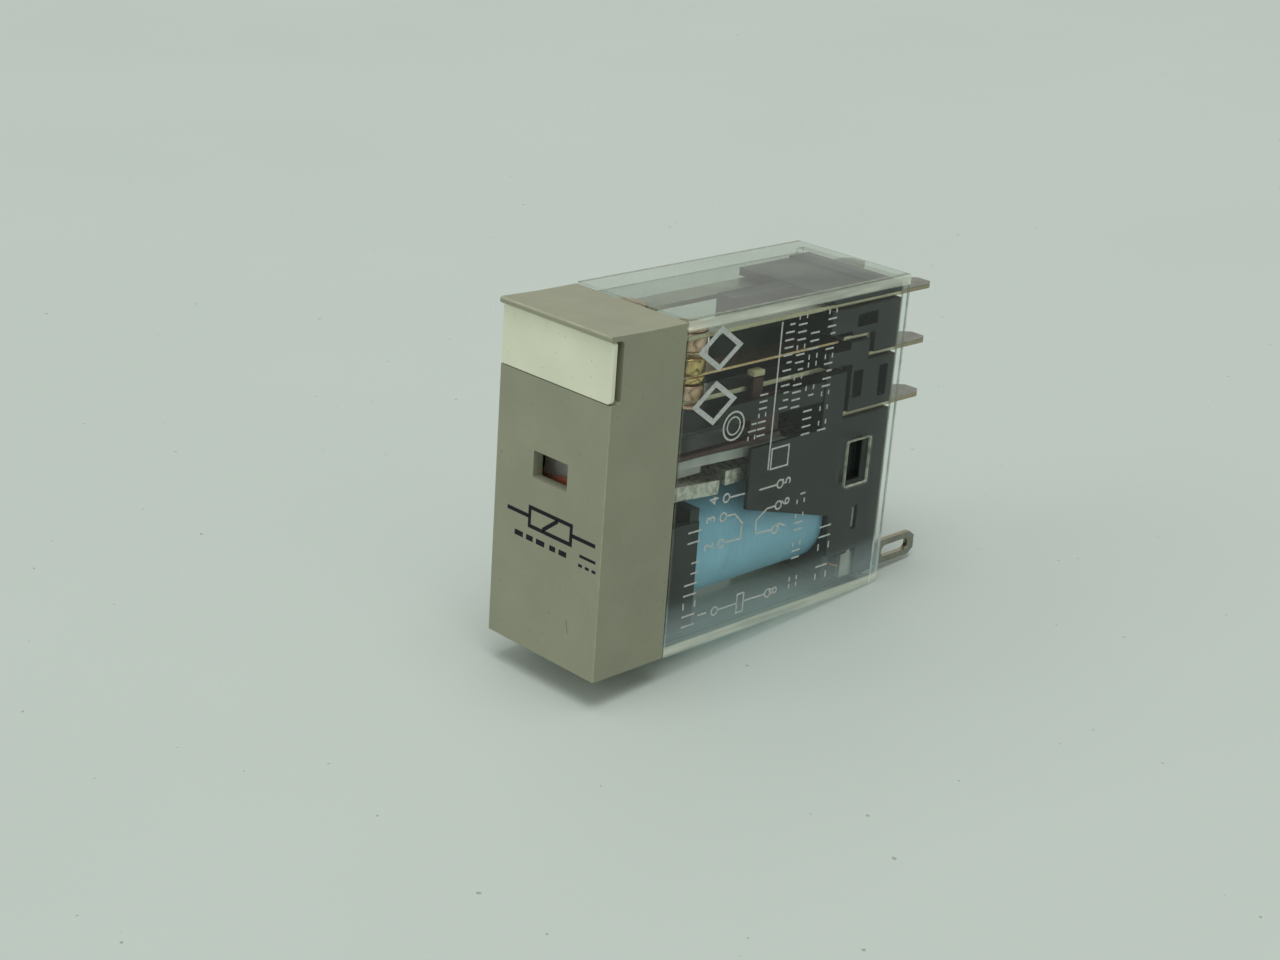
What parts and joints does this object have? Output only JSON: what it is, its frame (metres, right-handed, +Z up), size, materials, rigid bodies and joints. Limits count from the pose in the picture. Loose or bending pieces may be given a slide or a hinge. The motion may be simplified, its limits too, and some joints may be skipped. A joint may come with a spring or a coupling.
{
  "type": "industrial control relay",
  "caption": "Small plug-in changeover power relay in a clear cover, with a beige cap, a marking plate, an indicator window and flat plug-in pins.",
  "frame": {"origin": "under the middle of the relay's bounding box, on the plane that its narrow side rests on", "axes": "+Z up from the coil side to the normally open side, -Y out of the cap's front, +Y along the pins, +X to the right when facing the cap"},
  "size_m": [0.0128, 0.0418, 0.0288],
  "materials": {
    "cap_plastic": "fine matte moulded, warm beige-grey",
    "plate_plastic": "smooth cream, satin",
    "clear_plastic": "clear polycarbonate, polished",
    "black_plastic": "moulded, semi-gloss",
    "red_plastic": "moulded, semi-gloss",
    "grey_plastic": "moulded, semi-gloss",
    "cream_plastic": "moulded, satin",
    "coil_tape": "polyester tape, satin",
    "plated_steel": "zinc plated soft iron",
    "pin_plating": "tinned brass strip with bare sheared edges",
    "spring_copper": "rolled phosphor bronze",
    "contact_metal": "gold-flashed silver alloy",
    "copper_wire": "enamelled copper"
  },
  "bodies": {
    "root": {"cap": "cap_plastic", "marking_plate": "plate_plastic", "cover": "clear_plastic", "base": "black_plastic", "barrier": "black_plastic", "bobbin": "black_plastic", "coil_winding": "coil_tape", "core": "plated_steel", "yoke": "plated_steel", "return_spring": "spring_copper", "no_terminal_right": "pin_plating", "no_terminal_left": "pin_plating", "com_terminal_right": "pin_plating", "com_terminal_left": "pin_plating", "nc_terminal_right": "pin_plating", "nc_terminal_left": "pin_plating", "coil_terminal_right": "pin_plating", "coil_terminal_left": "pin_plating", "no_contact_right": "contact_metal", "no_contact_left": "contact_metal", "nc_contact_right": "contact_metal", "nc_contact_left": "contact_metal", "coil_lead_right": "copper_wire", "coil_lead_left": "copper_wire"},
    "armature": {"armature": "plated_steel", "lever": "grey_plastic"},
    "card": {"card": "red_plastic", "pusher_right": "cream_plastic", "pusher_left": "cream_plastic"},
    "contact_arm_right": {"contact_spring_right": "spring_copper", "moving_contact_right": "contact_metal"},
    "contact_arm_left": {"contact_spring_left": "spring_copper", "moving_contact_left": "contact_metal"}
  },
  "joints": [
    {"name": "armature_tilt", "type": "hinge", "parent": "root", "child": "armature", "pos_m": [0, -0.0051, 0.013], "axis": [1, 0, 0], "range_deg": [0, 4.5], "stiffness_Nm_per_rad": 0.001, "springref_deg": -14.32},
    {"name": "card_lift", "type": "slide", "parent": "root", "child": "card", "axis": [0, 0, 1], "range_m": [0, 0.0005], "stiffness_N_per_m": 0.07, "springref_m": 0.01},
    {"name": "contact_swing_right", "type": "hinge", "parent": "root", "child": "contact_arm_right", "pos_m": [0.00375, 0.0075, 0.0233], "axis": [-1, 0, 0], "range_deg": [0, 1.12], "stiffness_Nm_per_rad": 0.0001, "springref_deg": 16.62},
    {"name": "contact_swing_left", "type": "hinge", "parent": "root", "child": "contact_arm_left", "pos_m": [-0.00375, 0.0075, 0.0233], "axis": [-1, 0, 0], "range_deg": [0, 1.12], "stiffness_Nm_per_rad": 0.0001, "springref_deg": 16.62}
  ],
  "couplings": [
    {"joint": "card_lift", "follows": "armature_tilt", "m_per_rad": 0.0063662},
    {"joint": "contact_swing_right", "follows": "armature_tilt", "ratio": 0.25},
    {"joint": "contact_swing_left", "follows": "armature_tilt", "ratio": 0.25}
  ]
}
